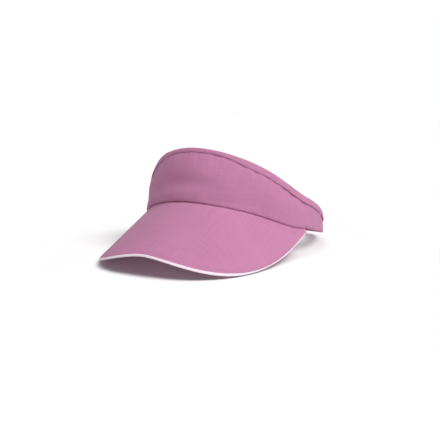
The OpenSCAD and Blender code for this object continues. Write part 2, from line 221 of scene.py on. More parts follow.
class Form:
    """The visor's surfaces. Angles go round from the middle of the front, positive towards +X."""

    def __init__(self, scene):
        self.oval_size, self.band, self.sweat = scene.visor_oval, scene.visor_band, scene.visor_sweat
        self.peak, self.closure = scene.visor_peak, scene.visor_closure
        low, high = 0.0, math.pi / 2
        for _ in range(40):
            middle = (low + high) / 2
            low, high = (middle, high) if self.oval(middle).y < -self.peak.end_y else (low, middle)
        self.seam_end = low
        self.peak_half_w = self.oval(low).x + self.peak.end_w
        self.peak_reach = self.oval_size.front + self.peak.ahead - self.peak.end_y
        self.end_z = self.peak_z(self.oval(low))
        self.end_drop = self.peak_z(self.oval(low - math.radians(1))) - self.end_z
        self.columns = {}
        self.seat()

    def oval(self, t):
        size = self.oval_size
        ahead = math.cos(t) > 0
        pull = size.front_pull * math.sin(2 * t) ** 2 if ahead else 0.0
        reach = size.front if ahead else size.rear
        return Vector((size.half_w * math.sin(t), -reach * math.cos(t))) * (1 - pull)

    def oval_out(self, t):
        step = self.oval(t + math.radians(1)) - self.oval(t - math.radians(1))
        return Vector((step.y, -step.x)).normalized()

    def peak_z(self, p):
        peak = self.peak
        along = (-p.y - peak.end_y) / self.peak_reach
        power = peak.seam_power + (peak.edge_power - peak.seam_power) * along
        sag = peak.sag * (abs(p.x) / self.oval_size.half_w) ** power * (1 + peak.edge_curl * along)
        return math.tan(peak.slope) * (p.y + self.oval_size.front) - sag / math.cos(peak.slope)

    def on_peak(self, p, depth):
        """The point below (or, with a negative depth, above) the peak's surface at p in plan."""
        step = 0.2 * MM
        slope_x = self.peak_z(p + Vector((step, 0))) - self.peak_z(p - Vector((step, 0)))
        slope_y = self.peak_z(p + Vector((0, step))) - self.peak_z(p - Vector((0, step)))
        normal = Vector((-slope_x, -slope_y, 2 * step)).normalized()
        return Vector((p.x, p.y, self.peak_z(p))) - normal * depth

    def outline(self, q):
        """The peak's outline in plan, q from -1 at one end to 1 at the other."""
        turn = math.pi / 2 * sign(q) * abs(q) ** (1 / self.peak.corner)
        across = sign(q) * abs(math.sin(turn)) ** self.peak.corner
        along = max(0.0, math.cos(turn)) ** self.peak.side
        return Vector((self.peak_half_w * across, -self.peak.end_y - self.peak_reach * along))

    def edge_at(self, q, out):
        step = self.outline(min(q + 0.01, 1)) - self.outline(max(q - 0.01, -1))
        return self.outline(q) + out * Vector((step.y, -step.x)).normalized()

    def seam_at(self, q, out):
        t = self.seam_end * sign(q) * abs(q) ** (1 / self.peak.corner)
        return self.oval(t) + out * self.oval_out(t)

    def column(self, t):
        """What the band needs at one angle: place, outward direction, foot, height, lean and bulge."""
        if t not in self.columns:
            band = self.band
            a = 2 * math.pi - t if t > math.pi else abs(t)
            place = self.oval(t)
            if a < self.seam_end:
                foot = self.peak_z(place)
            else:
                way = (a - self.seam_end) / (math.pi - self.seam_end)
                foot = self.end_z + band.rear_rise * (1 - math.cos(math.pi * way)) / 2
            drop = max(0.0, math.cos(math.pi / 2 * min(1.0, a / band.taper_end))) ** band.taper
            ease = max(0.0, band.top_ease - abs(a - self.seam_end)) ** 2 / (4 * band.top_ease)
            height = band.rear_h + (band.front_h - band.rear_h) * drop
            height += self.end_drop * math.degrees(ease)
            back = ((1 - math.cos(t)) / 2) ** band.lean_rate
            lean = band.front_lean + (band.rear_lean - band.front_lean) * back
            bulge = band.bulge * max(0.0, math.cos(math.pi / 2 * a / band.end))
            self.columns[t] = (place, self.oval_out(t), foot, height, lean, bulge)
        return self.columns[t]

    def height(self, t):
        return self.column(t)[3]

    def band_at(self, t, h, out):
        """The point of the band at angle t, height h above its foot and out beyond its outer face."""
        place, outward, foot, height, lean, bulge = self.column(t)
        v = h / height
        flat = place + outward * (out + bulge * 4 * v * (1 - v) - lean * h)
        return Vector((flat.x, flat.y, foot + h))

    def seat(self):
        """Finds the tilt and the shift that bring these surfaces onto the CAD band."""
        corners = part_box("band_outer")
        steps = 138
        rim = []
        for k in range(-steps, steps + 1):
            t = self.band.end * k / steps
            for part in range(7):
                rim += [self.band_at(t, self.height(t) * part / 6, out) for out in (0.0, -self.band.cloth)]
        low, high = 0.0, math.radians(45)
        for _ in range(40):
            self.tilt = (low + high) / 2
            heights = [p.z * math.cos(self.tilt) - p.y * math.sin(self.tilt) for p in rim]
            tall = max(heights) - min(heights) > corners[1].z - corners[0].z
            low, high = (low, self.tilt) if tall else (self.tilt, high)
        self.shift = Vector((0, 0, 0))
        placed = [self.row(p) for p in rim]
        self.shift = Vector((0, corners[0].y - min(p.y for p in placed),
                             corners[0].z - min(p.z for p in placed)))

    def row(self, p):
        """A point of the head frame, tipped and moved into the frame that the parts share."""
        c, s = math.cos(self.tilt), math.sin(self.tilt)
        return Vector((p.x, p.y * c + p.z * s, p.z * c - p.y * s)) + self.shift

    def arc(self, t):
        """Rough distance round the band from the middle of the front."""
        return t * (self.oval_size.half_w + self.oval_size.front) / 2


# ---- Meshes ----
def cloth_grid(across, along, place, flat, flip=False):
    """A sheet of quads. place(u, v) gives a point's place and flat(u, v) its spot on the cut cloth."""
    bm = bmesh.new()
    layer = bm.loops.layers.uv.new("cloth")
    wear = bm.verts.layers.float.new("wear")
    bmesh.ops.create_grid(bm, x_segments=across, y_segments=along, size=0.5)
    spots = {vert: (vert.co.x + 0.5, vert.co.y + 0.5) for vert in bm.verts}
    for face in bm.faces:
        for loop in face.loops:
            loop[layer].uv = flat(*spots[loop.vert])
    for vert, (u, v) in spots.items():
        vert.co = place(u, v)
        vert[wear] = max(bell(min(v, 1 - v), 0.03), bell(min(u, 1 - u), 0.004))
    if flip:
        bmesh.ops.reverse_faces(bm, faces=bm.faces)
    return bm


def close_round(bm):
    """Joins a sheet that meets itself, closes its ends and turns its faces outwards."""
    bmesh.ops.remove_doubles(bm, verts=bm.verts, dist=0.01 * MM)
    rims = [edge for edge in bm.edges if edge.is_boundary]
    if rims:
        bmesh.ops.holes_fill(bm, edges=rims, sides=0)
    bmesh.ops.recalc_face_normals(bm, faces=bm.faces)


def piece(bm, name, material, slot, body="visor", nodes=(), thick=0.0, round_edges=0.0):
    """Makes an object of a bmesh, dresses it and seats it on its body."""
    mesh = bpy.data.meshes.new(name)
    bm.to_mesh(mesh)
    bm.free()
    for polygon in mesh.polygons:
        polygon.use_smooth = True
    mesh.materials.append(material)
    obj = bpy.data.objects.new(name, mesh)
    bpy.context.scene.collection.objects.link(obj)
    if thick:
        wall = obj.modifiers.new("Thickness", "SOLIDIFY")
        wall.thickness, wall.offset = thick, -1
    if round_edges:
        bevel = obj.modifiers.new("Soft edges", "BEVEL")
        bevel.width, bevel.segments, bevel.limit_method = round_edges, 2, "ANGLE"
        bevel.angle_limit = math.radians(50)
    if body:
        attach(obj, body)
    if nodes:
        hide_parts(*nodes)
    return obj


def stitch(bm, start, end, normal, radius):
    """One stitch: a small rounded length of thread lying on the cloth."""
    along = end - start
    half = along.length / 2
    side = normal.cross(along).normalized()
    turn = Matrix((along.normalized(), side, normal.normalized())).transposed().to_4x4()
    size = Matrix.Diagonal((half, radius, radius * 0.8, 1))
    matrix = Matrix.Translation((start + end) / 2) @ turn @ size
    bmesh.ops.create_icosphere(bm, subdivisions=1, radius=1, matrix=matrix)


def stitch_row(bm, thread, place, steps=600):
    """A row of even stitches along place(s), which gives a point and the cloth's normal for s in 0 to 1."""
    points = [place(k / steps) for k in range(steps + 1)]
    walked = [0.0]
    for (a, _), (b, _) in zip(points, points[1:]):
        walked.append(walked[-1] + (b - a).length)
    pitch = thread.stitch + thread.gap
    count = int(walked[-1] / pitch)
    at = 0

    def spot(distance, at):
        while at < steps - 1 and walked[at + 1] < distance:
            at += 1
        part = (distance - walked[at]) / max(walked[at + 1] - walked[at], 1e-9)
        return points[at][0].lerp(points[at + 1][0], part), points[at][1], at

    for k in range(count):
        start, normal, at = spot(k * pitch, at)
        end, _, _ = spot(k * pitch + thread.stitch, at)
        stitch(bm, start, end, normal, thread.radius)


# ---- Crown band ----
ROLL_SHARE = 0.14
TOP_GAP = 0.3 * MM


# How far each kind of unevenness moves the band's cloth
SLOW_EASE, TOP_GATHER, FOOT_GATHER = 0.5 * MM, 1.1 * MM, 0.45 * MM
CREASE_DEPTH, CREASE_LIFT, GROOVE_DEPTH = 1.9 * MM, 0.9 * MM, 0.6 * MM
CREASE_FROM, CREASE_TO = math.radians(-75), math.radians(24)


def band_ease(form, t, h):
    """How far the band's cloth stands out or falls in from its smooth surface."""
    tall, arc = form.height(t), form.arc(t)
    below = tall - h
    inside = smooth(h / (6 * MM)) * smooth(below / (7 * MM))
    slow = SLOW_EASE * noise.noise(Vector((arc * 24, h * 30, 0.7))) * inside
    top = TOP_GATHER * noise.noise(Vector((arc * 190, h * 20, 5.1))) * bell(below - 7 * MM, 7 * MM)
    foot = FOOT_GATHER * noise.noise(Vector((arc * 120, h * 25, 9.3))) * bell(h - 3 * MM, 5 * MM)
    lift = CREASE_LIFT * bell(h - 0.14 * tall, 5 * MM)
    fall = CREASE_DEPTH * bell(h - 0.36 * tall, 6.5 * MM)
    crease = (lift - fall) * smooth((t - CREASE_FROM) / 0.4) * smooth((CREASE_TO - t) / 0.5)
    groove = -GROOVE_DEPTH * bell(below - binding_leg(form, t) - 0.4 * MM, 1.3 * MM)
    return slow + top + foot + crease + groove


def panel_point(form, t, v):
    """The outer panel: its lower edge is rolled and stands out a little over the peak."""
    band, tall = form.band, form.height(t)
    if v < ROLL_SHARE:
        turn = math.radians(-110) * (1 - v / ROLL_SHARE)
        h = band.roll * (1 + math.sin(turn))
        out = band.roll * (math.cos(turn) - 1)
    else:
        h = band.roll + (tall - band.roll - TOP_GAP) * (v - ROLL_SHARE) / (1 - ROLL_SHARE)
        out = 0.0
    out += band.overhang * bell(h, 5 * MM) + band_ease(form, t, h)
    from_end = (band.end - abs(t)) * form.oval_size.rear
    out -= 0.5 * MM * bell(from_end, 1.2 * MM)
    return form.row(form.band_at(t, h, out))


def band_cloth(form, t, h):
    """Spot on the cut cloth, in metres, for a point of the band."""
    return form.arc(t), h


def make_band(scene):
    form, band, cloths = Form(scene), scene.visor_band, scene.visor_cloths
    end = band.end

    def at(u):
        return end * (2 * u - 1)

    bm = cloth_grid(380, 40, lambda u, v: panel_point(form, at(u), v),
                    lambda u, v: band_cloth(form, at(u), v * form.height(at(u))))
    panel = piece(bm, "band_panel", cotton("band cotton", cloths.cotton), "cotton",
                  nodes=["band_outer"], thick=band.cloth)

    def lining_place(u, v):
        t = at(u)
        h = 0.2 * MM + (form.height(t) - 0.4 * MM) * v
        return form.row(form.band_at(t, h, band_ease(form, t, h) - band.lining_in))

    bm = cloth_grid(300, 14, lining_place, lambda u, v: band_cloth(form, at(u), v * form.height(at(u))))
    lining = piece(bm, "band_lining_cloth", cotton("lining cotton", cloths.inner), "cotton_inner",
                   nodes=["band_lining"], thick=band.lining)
    foot = band.buckram_foot

    def stiffener_place(u, v):
        t = band.buckram_end * (2 * u - 1)
        h = foot + (form.height(t) - band.buckram_gap - foot) * v
        return form.row(form.band_at(t, h, band_ease(form, t, h) - band.cloth - 0.15 * MM))

    bm = cloth_grid(200, 16, stiffener_place,
                    lambda u, v: (form.arc(band.buckram_end * (2 * u - 1)), v * 0.04))
    stiffener = fabric("buckram", (0.74, 0.70, 0.63), threads=900, sheen=0.1, bump=0.8, depth=0.5)
    piece(bm, "buckram_panel", stiffener, "buckram", nodes=["band_stiffener"],
          thick=band.buckram)
    girth = form.arc(2 * end)
    mean = sum(form.height(at(k / 60)) for k in range(61)) / 61


def binding_leg(form, t):
    """Depth of the binding's outer leg: narrow at the front and full at the sides."""
    band = form.band
    widen = smooth((abs(t) - band.binding_front_end) / math.radians(22))
    return band.binding_front + (band.binding_out - band.binding_front) * widen


OVER_TOP = 0.16


def binding_point(form, t, w):
    """The binding from the foot of its outer leg, over the top and down its inner leg."""
    band, h = form.band, form.height(t)
    outer = band.binding + 0.15 * MM
    inner = -band.lining_in - band.lining - band.binding - 0.15 * MM
    leg_share = (1 - OVER_TOP) / 2
    if w < leg_share:
        up = binding_leg(form, t) * w / leg_share
        out, height = outer - 0.5 * MM * bell(up, 0.6 * MM), h - binding_leg(form, t) + up
    elif w < leg_share + OVER_TOP:
        turn = math.pi * (w - leg_share) / OVER_TOP
        out = (outer + inner) / 2 + (outer - inner) / 2 * math.cos(turn)
        height = h + 0.9 * MM * math.sin(turn)
    else:
        down = band.binding_in * (w - leg_share - OVER_TOP) / leg_share
        out, height = inner, h - down
    arc = form.arc(t)
    out += 0.22 * MM * noise.noise(Vector((arc * 110, w * 3, 7.7)))
    height += 0.25 * MM * noise.noise(Vector((arc * 45, w * 1.5, 1.3)))
    return form.row(form.band_at(t, height, out))


def make_binding(scene):
    form, band, cloths = Form(scene), scene.visor_band, scene.visor_cloths
    wide = band.binding_out + band.binding_in + 4 * MM

    def at(u):
        return band.end * (2 * u - 1)

    bm = cloth_grid(360, 30, lambda u, v: binding_point(form, at(u), v),
                    lambda u, v: (wide * v, form.arc(at(u))))
    strip = piece(bm, "top_binding_strip", cotton("binding cotton", cloths.cotton), "cotton",
                  nodes=["top_binding"], thick=band.binding * 0.8)
    form.arc(2 * band.end)


# ---- Sweatband ----
SWEAT_SEAM = 4.5 * MM
SWELL_FRAMES, SWELL_CAP, SWELL_PRESSURE = 20, 0.6 * MM, 4


def sweat_top(form, t):
    return min(form.sweat.height, form.height(t) - form.band.binding_in - 1 * MM)


def sweat_point(form, t, w):
    """The sweatband's closed section: down its face, round the lower fold and up its back."""
    sweat, top = form.sweat, sweat_top(form, t)
    low, middle = sweat.lift, -(sweat.back + sweat.thick / 2)
    turn = 2 * math.pi * w
    centre, tall = (low + top) / 2, (top - low) / 2
    square = abs(math.sin(turn)) ** 0.45 * sign(math.sin(turn))
    up = centre + tall * abs(math.cos(turn)) ** 0.6 * sign(math.cos(turn))
    out = middle - (sweat.thick / 2 - 0.3 * MM) * square
    if square > 0:
        out += 0.9 * MM * bell(up - low - SWEAT_SEAM, 1.2 * MM)
        out += 0.25 * MM * noise.noise(Vector((form.arc(t) * 90, up * 40, 3.3)))
    return form.row(form.band_at(t, up, out))


def make_sweatband(scene):
    form, sweat, cloths = Form(scene), scene.visor_sweat, scene.visor_cloths

    def at(u):
        return sweat.end * (2 * u - 1)

    bm = cloth_grid(220, 36, lambda u, v: sweat_point(form, at(u), v),
                    lambda u, v: (form.arc(at(u)), 2 * sweat.height * v))
    close_round(bm)
    pad = piece(bm, "sweatband", brushed("sweatband cloth", cloths.cotton), "sweat_cloth",
                nodes=["sweatband_cover", "sweatband_pad"])
    puff(pad, scene)


def puff(obj, scene):
    """Relaxes a padded strip with a short cloth simulation that its seams hold.

    At this pressure the cloth moves by about a hundredth of a millimetre, so the strip's form is
    the one that sweat_point gives.
    """
    rest = [vert.co.copy() for vert in obj.data.vertices]
    seam = obj.vertex_groups.new(name="seams")
    form = Form(scene)
    low = [form.row(form.band_at(form.sweat.end * k / 60, form.sweat.lift + SWEAT_SEAM, -5 * MM))
           for k in range(-60, 61)]
    for k, co in enumerate(rest):
        near = min((co - p).length for p in low)
        seam.add([k], 1.0 if near < 2.2 * MM else 0.25, "REPLACE")
    cloth = obj.modifiers.new("Cloth", "CLOTH")
    cloth.settings.quality = 6
    cloth.settings.mass = 0.15
    cloth.settings.use_pressure = True
    cloth.settings.uniform_pressure_force = SWELL_PRESSURE
    cloth.settings.effector_weights.gravity = 0
    cloth.settings.vertex_group_mass = "seams"
    cloth.collision_settings.use_collision = False
    cloth.point_cache.frame_start, cloth.point_cache.frame_end = 1, SWELL_FRAMES
    for number in range(1, SWELL_FRAMES + 1):
        scene.frame_set(number)
    graph = bpy.context.evaluated_depsgraph_get()
    swollen = [vert.co.copy() for vert in obj.evaluated_get(graph).data.vertices]
    obj.modifiers.remove(cloth)
    scene.frame_set(1)
    for vert, before, after in zip(obj.data.vertices, rest, swollen):
        move = after - before
        if move.length > SWELL_CAP:
            move = move.normalized() * SWELL_CAP
        vert.co = before + move
    obj.vertex_groups.clear()


# ---- Peak ----
ROW_SHARE, EDGE_SHARE, ROLL_START = 0.60, 0.80, 0.92


def peak_inset(form, q, away):
    """A spot in from the peak's edge: square to the edge in front, and towards the seam at the sides."""
    edge, seam = form.edge_at(q, 0), form.seam_at(q, 0)
    to_seam = edge.lerp(seam, away / (edge - seam).length)
    return form.edge_at(q, -away).lerp(to_seam, smooth((abs(q) - 0.35) / 0.3))


def peak_spot(form, q, v):
    """A spot of the peak in plan, its distance from the edge, and how far it has rolled in."""
    peak = form.peak
    width = (form.edge_at(q, 0) - form.seam_at(q, 0)).length
    row_in = min(peak.row_in, 0.55 * width)
    edge_in = min(peak.edge_row_in, 0.35 * width)
    roll = min(peak.edge_roll, 0.25 * width)
    if v < ROW_SHARE:
        part = v / ROW_SHARE
        return form.seam_at(q, -0.6 * MM).lerp(peak_inset(form, q, row_in), part), \
            row_in + (width - row_in) * (1 - part), 0.0
    if v < EDGE_SHARE:
        away = row_in + (edge_in - row_in) * (v - ROW_SHARE) / (EDGE_SHARE - ROW_SHARE)
        return peak_inset(form, q, away), away, 0.0
    if v < ROLL_START:
        away = edge_in + (roll - edge_in) * (v - EDGE_SHARE) / (ROLL_START - EDGE_SHARE)
        return peak_inset(form, q, away), away, 0.0
    turn = math.radians(80) * (v - ROLL_START) / (1 - ROLL_START)
    away = roll * (1 - math.sin(turn))
    return peak_inset(form, q, away), away, roll * (1 - math.cos(turn))


def peak_cover_point(form, q, v, upper):
    """A point of one cover of the peak, pulled in along its stitching."""
    peak = form.peak
    spot, away, rolled = peak_spot(form, q, v)
    width = (form.edge_at(q, 0) - form.seam_at(q, 0)).length
    room = smooth(width / (30 * MM))
    across = q * peak.ahead * 2.4
    row_room = smooth((0.55 * width / peak.row_in - 1) / 0.5)
    sink = 0.16 * MM * bell(away - min(peak.row_in, 0.55 * width), 0.9 * MM) * row_room
    sink += 0.22 * MM * bell(away - min(peak.edge_row_in, 0.35 * width), 0.7 * MM)
    from_seam = width - away
    sink += 0.35 * MM * noise.noise(Vector((across * 110, 0, 4.4))) * bell(from_seam - 4 * MM, 5 * MM)
    sink += 0.25 * MM * noise.noise(Vector((spot.x * 18, spot.y * 18, 8.8 if upper else 2.8)))
    depth = 0.3 * MM + (min(sink, 0.3 * MM) + rolled) * room
    depth = depth if upper else peak.thick - depth + 0.1 * MM
    return form.row(form.on_peak(spot, depth))


def make_peak(scene):
    form, band, cloths = Form(scene), scene.visor_band, scene.visor_cloths
    covers = (("peak_top", True, "peak_top_cover", "cotton", cloths.cotton),
              ("peak_underside", False, "peak_under_cover", "cotton_inner", cloths.cotton))
    for name, upper, node, slot, tint in covers:
        bm = cloth_grid(300, 52, lambda u, v: peak_cover_point(form, 2 * u - 1, v, upper),
                        lambda u, v: tuple(peak_spot(form, 2 * u - 1, v)[0]), flip=upper)
        cover = piece(bm, name, cotton(name.replace("_", " ") + " cotton", tint), slot,
                      nodes=[node], thick=band.cloth)


def bead_radius(form, q):
    """The piping's bead, finer towards the ends of the peak."""
    return form.peak.bead * (1 - 0.55 * smooth((abs(q) - 0.5) / 0.3))


def piping_point(form, q, w):
    radius = bead_radius(form, q)
    turn = 2 * math.pi * w
    out = radius * (0.45 + math.cos(turn))
    depth = form.peak.thick / 2 + radius * math.sin(turn)
    return form.row(form.on_peak(form.edge_at(q, out), depth))


def make_piping(scene):
    form, cloths = Form(scene), scene.visor_cloths
    bm = cloth_grid(320, 14, lambda u, v: piping_point(form, 2 * u - 1, v),
                    lambda u, v: (u * 0.3, v * 7 * MM))
    close_round(bm)
    piece(bm, "edge_piping", cotton("piping cotton", cloths.piping), "piping", nodes=["edge_trim"])


# ---- Closure ----
def corner_inset(distance, radius):
    """How far a rounded corner stands in from a strap's side at a distance from its tip."""
    if distance >= radius:
        return 0.0
    return radius - math.sqrt(max(0.0, radius ** 2 - (radius - distance) ** 2))


def strap_sheet(form, start, end, tall, offset, tip, across=70, along=10, radius=3 * MM):
    """A strap between two angles. offset(t) is its outer face, and tip is the angle of its rounded end."""
    closure = form.closure
    lift = (closure.strap_h - tall) / 2

    def place(u, v):
        t = start + (end - start) * u
        inset = corner_inset(abs(t - tip) * form.oval_size.rear, radius)
        h = lift + inset + (tall - 2 * inset) * v
        crown = 0.15 * MM * (1 - abs(2 * v - 1) ** 4)
        return form.row(form.band_at(t, h, offset(t) + crown))

    return cloth_grid(across, along, place, lambda u, v: ((start + (end - start) * u) * 0.1, tall * v))


def tab_offset(form, t):
    """Outer face of the right strap: inside the band at its root, outside the closure past the fold."""
    closure = form.closure
    face = -closure.strap_face + closure.loop_t + closure.gap + closure.hook_t + 0.2 * MM + closure.strap_t
    root = -closure.strap_face
    way = (t - closure.fold - math.radians(1)) / math.radians(10)
    return face + (root - face) * smooth(way)


def make_straps(scene):
    form, closure, cloths = Form(scene), scene.visor_closure, scene.visor_cloths
    band_end = scene.visor_band.end
    cloth = cotton("strap cotton", cloths.cotton)
    bm = strap_sheet(form, band_end - closure.root, closure.strap_tip, closure.strap_h,
                     lambda t: -closure.strap_face, closure.strap_tip, across=90)
    piece(bm, "under_strap", cloth, "cotton", nodes=["strap_left"], thick=closure.strap_t,
          round_edges=0.4 * MM)
    bm = strap_sheet(form, closure.tab_tip, 2 * math.pi - band_end + closure.root, closure.tab_h,
                     lambda t: tab_offset(form, t), closure.tab_tip, across=110)
    tab = piece(bm, "peel_strap", cloth, "cotton", body=None, nodes=["strap_right", "strap_tab"],
                thick=closure.strap_t, round_edges=0.4 * MM)
    half = closure.strap_h / 2
    near = math.radians(1.4)
    form.row(form.band_at(closure.fold + near, half, 0))
    form.row(form.band_at(closure.fold - near, half, 0))
    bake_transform(tab)


def pile_patch(form, start, end, tall, offset, bump):
    """The ground of a hook or loop tape."""
    lift = (form.closure.strap_h - tall) / 2

    def place(u, v):
        t, h = start + (end - start) * u, lift + tall * v
        rough = bump * noise.noise(Vector((form.arc(t) * 900, h * 900, 6.1)))
        return form.row(form.band_at(t, h, offset + rough))

    return cloth_grid(110, 24, place, lambda u, v: ((start + (end - start) * u) * 0.1, tall * v))


def make_tapes(scene):
    form, closure, cloths = Form(scene), scene.visor_closure, scene.visor_cloths
    rear = form.oval_size.rear
    loop_face = -closure.strap_face + 0.1 * MM + closure.loop_t
    start, end = scene.visor_band.end + math.radians(6), closure.strap_tip - math.radians(1)
    tall = closure.strap_h - 2 * closure.margin
    bm = pile_patch(form, start, end, tall, loop_face - 0.25 * MM, 0.2 * MM)
    lift = (closure.strap_h - tall) / 2
    step = 1.3 * MM
    columns, rows = int((end - start) * rear / step), int(tall / step)
    for i in range(columns):
        for j in range(rows):
            shake = noise.noise_vector(Vector((i * 0.37, j * 0.61, 1.9))) * 0.7 * MM
            t = start + (end - start) * (i + 0.5) / columns + shake.x / rear
            root = form.row(form.band_at(t, lift + tall * (j + 0.5) / rows + shake.y, loop_face - 0.3 * MM))
            turn = noise.noise_vector(Vector((i * 0.7, j * 0.9, 4.2))).normalized()
            stitch(bm, root - turn * 0.55 * MM, root + turn * 0.55 * MM, turn.orthogonal(), 0.16 * MM)
    piece(bm, "loop_tape", pile("loop pile", cloths.inner), "loop", nodes=["loop_patch"],
          thick=closure.loop_t * 0.7)

    hook_back = loop_face + closure.gap + closure.hook_t
    start, end = closure.tab_tip + math.radians(3), closure.strap_tip - math.radians(3)
    tall = closure.tab_h - 2 * closure.margin
    lift = (closure.strap_h - tall) / 2
    bm = pile_patch(form, start, end, tall, hook_back, 0.0)
    step = 1.6 * MM
    columns, rows = int((end - start) * rear / step), int(tall / step)
    for i in range(columns):
        for j in range(rows):
            t = start + (end - start) * (i + 0.5) / columns
            h = lift + tall * (j + 0.5) / rows
            root = form.row(form.band_at(t, h, hook_back - 0.35 * MM))
            tip = form.row(form.band_at(t, h, hook_back - closure.hook_t + 0.05 * MM))
            lean = form.row(form.band_at(t, h + (0.5 if j % 2 else -0.5) * MM, hook_back - closure.hook_t))
            side = (tip - root).orthogonal()
            stitch(bm, root, tip, side, 0.14 * MM)
            stitch(bm, tip, lean, side, 0.12 * MM)
    piece(bm, "hook_tape", hook_plastic("hook tape", cloths.inner), "hook", body="tab",
          nodes=["hook_patch"], thick=0.4 * MM)


# ---- Stitching ----
def normal_of(place, s, lift):
    """A stitch place's point raised a little along the cloth's outward direction."""
    low, high = place(s, 0.0), place(s, 1 * MM)
    normal = (high - low).normalized()
    return low + normal * lift, normal


def make_stitching(scene):
    form, thread, cloths = Form(scene), scene.visor_thread, scene.visor_cloths
    band, peak, closure = scene.visor_band, scene.visor_peak, scene.visor_closure
    yarn = thread_material("sewing thread", cloths.thread)

    def band_row(height, out, end):
        def place(s, up):
            t = end * (2 * s - 1)
            return form.row(form.band_at(t, height(t), out + up))
        return lambda s: normal_of(place, s, 0.05 * MM)

    def peak_row(distance, q_end, upper):
        def place(s, up):
            q = q_end * (2 * s - 1)
            width = (form.edge_at(q, 0) - form.seam_at(q, 0)).length
            spot = peak_inset(form, q, min(distance, 0.5 * width))
            sunk = 0.52 * MM
            return form.row(form.on_peak(spot, sunk - up if upper else peak.thick + 0.1 * MM - sunk + up))
        return lambda s: normal_of(place, s, 0.02 * MM)

    def seam_row(s):
        q = 0.94 * (2 * s - 1)

        def place(s, up):
            return form.row(form.on_peak(form.seam_at(q, 3.2 * MM), 0.3 * MM - up))
        return normal_of(place, s, 0.0)

    rows = {
        "binding_stitches": [
            band_row(lambda t: form.height(t) - binding_leg(form, t) + 1.4 * MM, band.binding + 0.1 * MM,
                     band.end - 0.02),
            band_row(lambda t: form.height(t) - band.binding_in + 1.4 * MM,
                     -band.lining_in - band.lining - band.binding - 0.2 * MM, band.end - 0.02)],
        "peak_stitches": [peak_row(peak.row_in, 0.62, True), peak_row(peak.edge_row_in, 0.97, True),
                          seam_row,
                          peak_row(peak.row_in, 0.62, False), peak_row(peak.edge_row_in, 0.97, False)],
    }
    for name, places in rows.items():
        bm = bmesh.new()
        for place in places:
            stitch_row(bm, thread, place)
        piece(bm, name, yarn, "thread")

    def strap_row(start, end, h, offset):
        def place(s, up):
            t = start + (end - start) * s
            return form.row(form.band_at(t, h, offset(t) + up))
        return lambda s: normal_of(place, s, 0.15 * MM)

    def across_row(t, low, high, offset):
        def place(s, up):
            return form.row(form.band_at(t, low + (high - low) * s, offset(t) + up))
        return lambda s: normal_of(place, s, 0.15 * MM)

    def outer(t):
        return tab_offset(form, t)

    low = (closure.strap_h - closure.tab_h) / 2 + 1.8 * MM
    high = closure.strap_h - low
    start, end = closure.tab_tip + math.radians(1.6), closure.fold - math.radians(3)
    bm = bmesh.new()
    for place in (strap_row(start, end, low, outer), strap_row(start, end, high, outer),
                  across_row(start, low, high, outer), across_row(end, low, high, outer)):
        stitch_row(bm, thread, place, steps=160)
    piece(bm, "tab_stitches", yarn, "thread", body="tab")

    bm = bmesh.new()
    for side in (-1, 1):
        for inset in (3, 8):
            t = side * (band.end - math.radians(inset))
            low = (closure.strap_h - closure.tab_h) / 2 + closure.margin
            high = band.rear_h - band.binding_out - 1.5 * MM
            count = 16
            for k in range(count):
                h, nudge = low + (high - low) * k / count, math.radians(0.55) * (1 if k % 2 else -1)
                a = form.row(form.band_at(t - nudge, h, 0.25 * MM))
                b = form.row(form.band_at(t + nudge, h + (high - low) / count, 0.25 * MM))
                out = form.row(form.band_at(t, h, 1.5 * MM)) - form.row(form.band_at(t, h, 0.25 * MM))
                stitch(bm, a, b, out.normalized(), 0.26 * MM)
    piece(bm, "bartack_stitches", yarn, "thread", nodes=["strap_bartacks"])


# ---- Care label ----
LABEL_W, LABEL_H, LABEL_T, LABEL_AT = 14 * MM, 11 * MM, 0.25 * MM, math.radians(104)


def make_label(scene):
    form, cloths = Form(scene), scene.visor_cloths
    half = LABEL_W / 2 / form.oval_size.half_w
    depth = form.sweat.back + form.sweat.thick + 0.3 * MM

    def place(u, v):
        t = LABEL_AT + half * (2 * u - 1)
        curl = 0.5 * MM * v * v
        return form.row(form.band_at(t, form.sweat.lift + 1 * MM + LABEL_H * v, -depth - curl))

    bm = cloth_grid(28, 20, place, lambda u, v: (LABEL_W * u, LABEL_H * v), flip=True)
    piece(bm, "care_label_tag", satin("label satin", cloths.label), "label", nodes=["care_label"],
          thick=LABEL_T)


# ---- Materials ----
def group_sockets(group, inputs, outputs):
    for name, kind, default in inputs:
        group.interface.new_socket(name, in_out="INPUT", socket_type=kind).default_value = default
    for name, kind in outputs:
        group.interface.new_socket(name, in_out="OUTPUT", socket_type=kind)
    return group.nodes.new("NodeGroupInput"), group.nodes.new("NodeGroupOutput")


def maths(tree, operation, a, b=None):
    """A Math node whose inputs are sockets or plain numbers. Returns its output."""
    node = tree.nodes.new("ShaderNodeMath")
    node.operation = operation
    for socket, value in zip(node.inputs, (a, b)):
        if value is None:
            continue
        if isinstance(value, (int, float)):
            socket.default_value = value
        else:
            tree.links.new(value, socket)
    return node.outputs[0]


def stretched_noise(tree, vector, scale_x, scale_y, detail=2):
    """Noise that is longer along one thread direction than the other."""
    mapping = tree.nodes.new("ShaderNodeMapping")
    mapping.inputs["Scale"].default_value = (scale_x, scale_y, 1)
    texture = tree.nodes.new("ShaderNodeTexNoise")
    texture.inputs["Scale"].default_value = 1
    texture.inputs["Detail"].default_value = detail
    tree.links.new(vector, mapping.inputs["Vector"])
    tree.links.new(mapping.outputs[0], texture.inputs["Vector"])
    return texture.outputs["Fac"]


